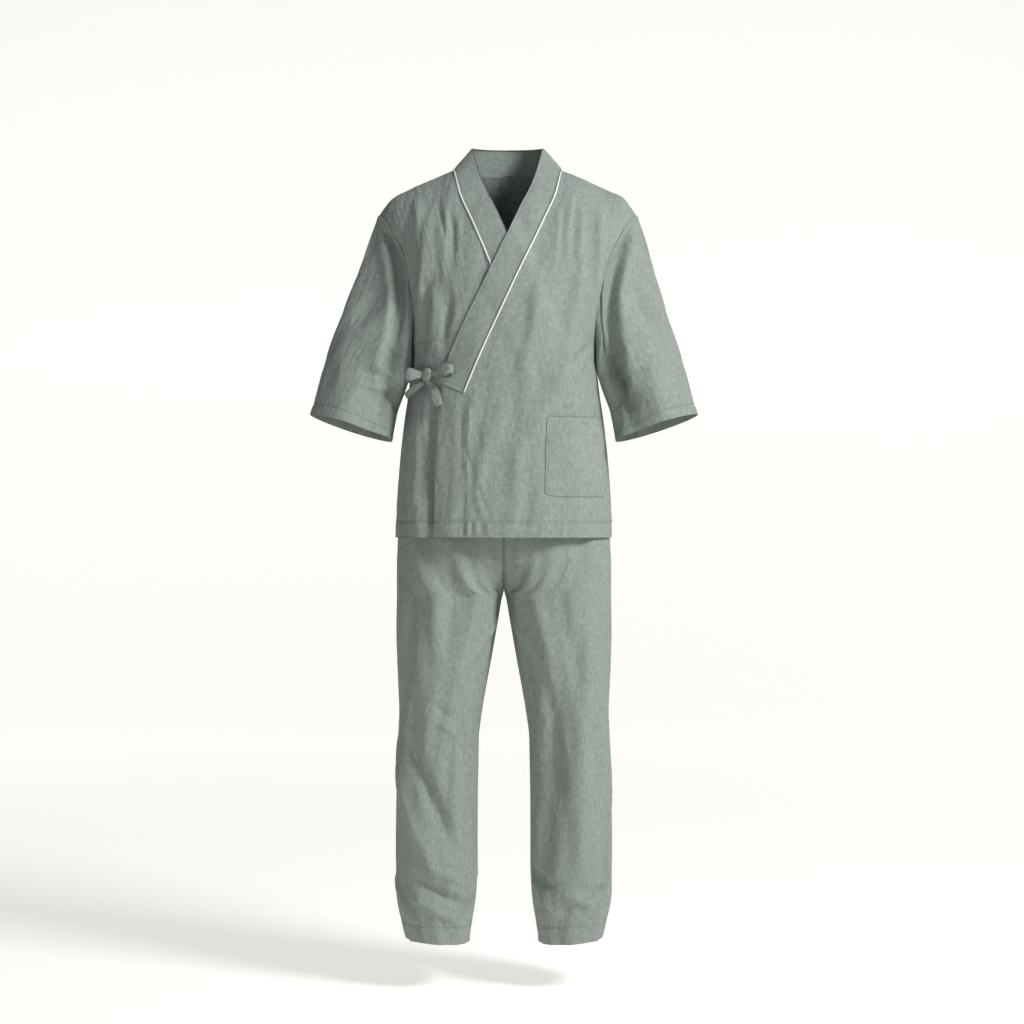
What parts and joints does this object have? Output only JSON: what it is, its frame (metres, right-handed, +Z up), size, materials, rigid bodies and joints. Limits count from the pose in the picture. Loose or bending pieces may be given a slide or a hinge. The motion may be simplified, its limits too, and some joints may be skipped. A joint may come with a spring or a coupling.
{
  "type": "kimono pyjama set",
  "caption": "Grey-green kimono pyjama set in worn form: wrap jacket with wide three-quarter sleeves, piped V collar, side bow and patch pocket, over straight trousers.",
  "frame": {"origin": "middle of the neck, level with the jacket's shoulder seams at the neck", "axes": "+Z up, along the worn garment; +X to the garment's own left; +Y to its back, so the front faces -Y"},
  "size_m": [0.7304, 0.3131, 1.5108],
  "materials": {
    "cloth": "matte slubbed plain weave",
    "trim": "smooth white piping"
  },
  "bodies": {
    "root": {"collar_band": "cloth", "collar_piping": "trim", "jacket_back": "cloth", "jacket_front_left": "cloth", "jacket_front_right": "cloth", "pocket": "cloth", "sleeve_left": "cloth", "sleeve_right": "cloth", "tie_knot": "cloth", "tie_loop_left": "cloth", "tie_loop_right": "cloth", "tie_strap_left": "cloth", "tie_strap_right": "cloth", "tie_tail_left": "cloth", "tie_tail_right": "cloth", "trouser_back_left": "cloth", "trouser_back_right": "cloth", "trouser_front_left": "cloth", "trouser_front_right": "cloth", "waistband": "cloth"}
  },
  "joints": []
}
